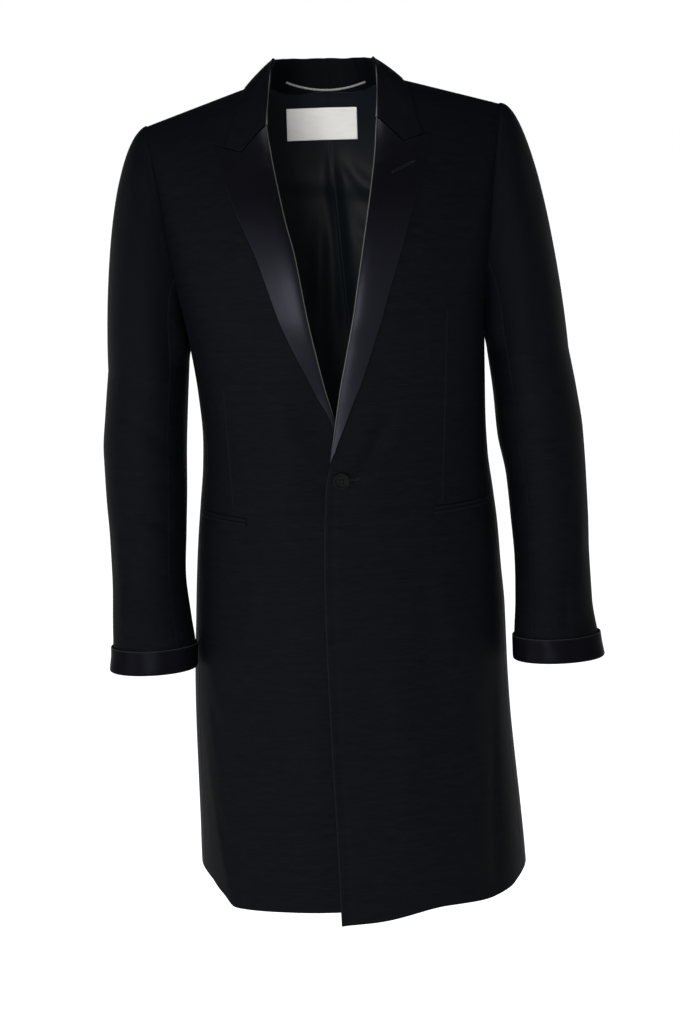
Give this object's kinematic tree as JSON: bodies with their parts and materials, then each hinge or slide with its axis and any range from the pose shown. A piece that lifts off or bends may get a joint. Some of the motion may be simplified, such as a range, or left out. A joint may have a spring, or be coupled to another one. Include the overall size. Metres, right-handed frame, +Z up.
{
  "type": "evening coat",
  "caption": "Long single-breasted evening coat with satin peak lapels and turned-back satin cuffs, hollow as worn, with open neck, hem and sleeves.",
  "frame": {"origin": "between the two points where the shoulder seams meet the neck, where the coat rests on the wearer's shoulders", "axes": "+Z up, the coat's front faces -Y, the wearer's left is +X"},
  "size_m": [0.5983, 0.2807, 1.0265],
  "materials": {
    "wool": "fine matte navy wool and mohair",
    "satin": "dark satin with a soft sheen",
    "lining": "smooth dark teal lining",
    "label": "ivory woven satin, bare",
    "loop": "silver grey cord",
    "button": "dark horn, half polished"
  },
  "bodies": {
    "root": {"front_left": "wool", "front_right": "wool", "side_panel_left": "wool", "side_panel_right": "wool", "back_left": "wool", "back_right": "wool", "top_sleeve_left": "wool", "top_sleeve_right": "wool", "under_sleeve_left": "wool", "under_sleeve_right": "wool", "cuff_left": "satin", "cuff_right": "satin", "lapel_left": "satin", "lapel_right": "satin", "jets_left": "wool", "jets_right": "wool", "collar": "wool", "back_lining": "lining", "label": "label", "hanger_loop": "loop", "button": "button"}
  },
  "joints": []
}
